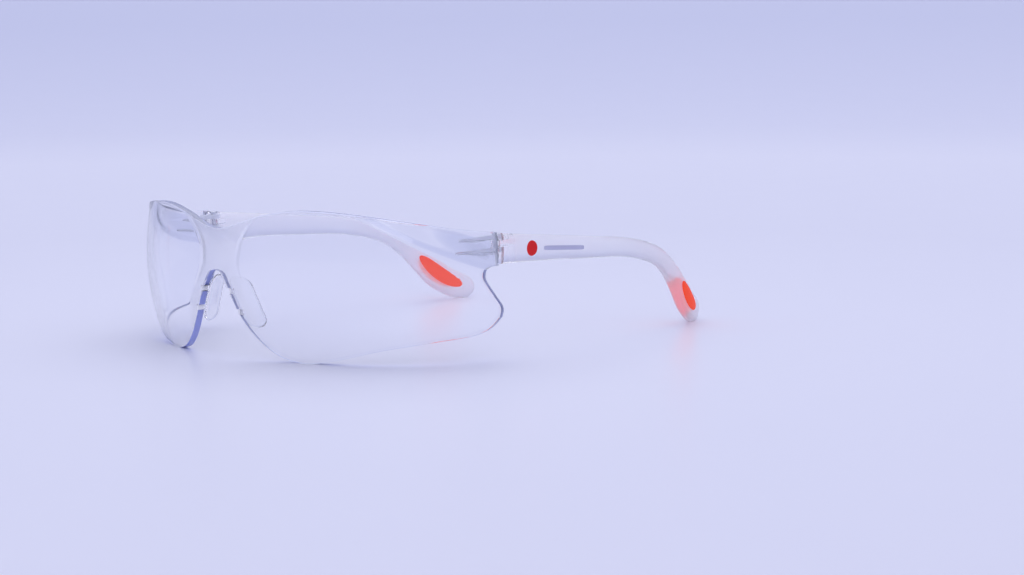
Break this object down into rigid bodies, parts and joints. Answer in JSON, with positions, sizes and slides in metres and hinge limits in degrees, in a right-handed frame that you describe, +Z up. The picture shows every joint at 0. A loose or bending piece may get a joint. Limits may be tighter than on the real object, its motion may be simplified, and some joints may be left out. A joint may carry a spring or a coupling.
{
  "type": "safety glasses",
  "caption": "Clear wraparound eye protector: a single curved lens with side shields, clip-in nose pads and folding frosted temples with soft oval tip inlays.",
  "frame": {"origin": "middle of the footprint, on the surface that the glasses stand on", "axes": "+X sideways towards the wearer's left, +Y backwards from the front of the lens to the temple tips, +Z up"},
  "size_m": [0.1422, 0.1716, 0.0467],
  "materials": {
    "lens": "clear polished polycarbonate with polished edges",
    "nose_pad": "clear soft plastic",
    "temple": "milky translucent nylon, satin",
    "inlay": "orange-red soft rubber, satin",
    "screw": "plain steel"
  },
  "bodies": {
    "front": {"lens": "lens", "nose_pad_left": "nose_pad", "nose_pad_right": "nose_pad", "hinge_screw_left": "screw", "hinge_screw_right": "screw"},
    "left_temple": {"temple_left": "temple", "tip_inlay_outer_left": "inlay", "tip_inlay_inner_left": "inlay"},
    "right_temple": {"temple_right": "temple", "tip_inlay_outer_right": "inlay", "tip_inlay_inner_right": "inlay"}
  },
  "joints": [
    {"name": "left_hinge", "type": "hinge", "parent": "front", "child": "left_temple", "pos_m": [0.0662, -0.03064, 0.0354], "axis": [0, 0, 1], "range_deg": [0, 90]},
    {"name": "right_hinge", "type": "hinge", "parent": "front", "child": "right_temple", "pos_m": [-0.0662, -0.03064, 0.0354], "axis": [0, 0, -1], "range_deg": [0, 82]}
  ]
}
